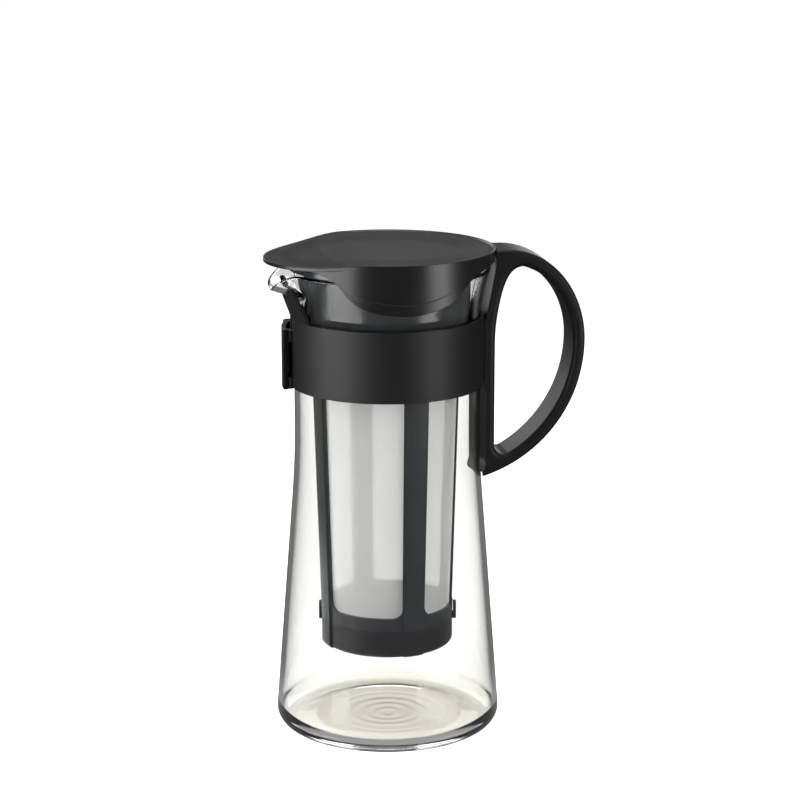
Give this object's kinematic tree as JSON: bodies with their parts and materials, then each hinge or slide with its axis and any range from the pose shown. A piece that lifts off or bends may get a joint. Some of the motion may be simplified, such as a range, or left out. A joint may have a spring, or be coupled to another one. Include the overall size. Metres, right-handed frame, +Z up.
{
  "type": "cold brew coffee maker",
  "caption": "Glass cold brew coffee jug with a spout, a clamped-on handle, a hanging mesh strainer with a twist-off cap, and a lift-off lid.",
  "frame": {"origin": "centre of the foot, on the surface that the jug stands on", "axes": "+Z up along the jug's axis, +X towards the handle, -X towards the spout"},
  "size_m": [0.1313, 0.093, 0.2013],
  "materials": {
    "glass": "clear heat-resistant glass",
    "black_plastic": "black moulded plastic, satin",
    "strainer_plastic": "dark grey moulded plastic, satin",
    "mesh": "fine white mesh"
  },
  "bodies": {
    "jug": {"carafe": "glass", "handle": "black_plastic", "band": "black_plastic"},
    "clasp": {"band_clasp": "black_plastic"},
    "strainer": {"strainer_frame": "strainer_plastic", "strainer_mesh": "mesh"},
    "cap": {"strainer_cap": "strainer_plastic"},
    "lid": {"lid": "black_plastic"}
  },
  "joints": [
    {"name": "clasp_swing", "type": "hinge", "parent": "jug", "child": "clasp", "pos_m": [-0.03834, 0.01788, 0.15725], "axis": [0, 0, -1], "range_deg": [0, 80]},
    {"name": "strainer_lift", "type": "slide", "parent": "jug", "child": "strainer", "axis": [0, 0, 1], "range_m": [0, 0.17]},
    {"name": "cap_twist", "type": "hinge", "parent": "strainer", "child": "cap", "pos_m": [0, 0, 0.0466], "axis": [0, 0, -1], "range_deg": [0, 25]},
    {"name": "lid_lift", "type": "slide", "parent": "strainer", "child": "lid", "axis": [0, 0, 1], "range_m": [0, 0.06]}
  ]
}
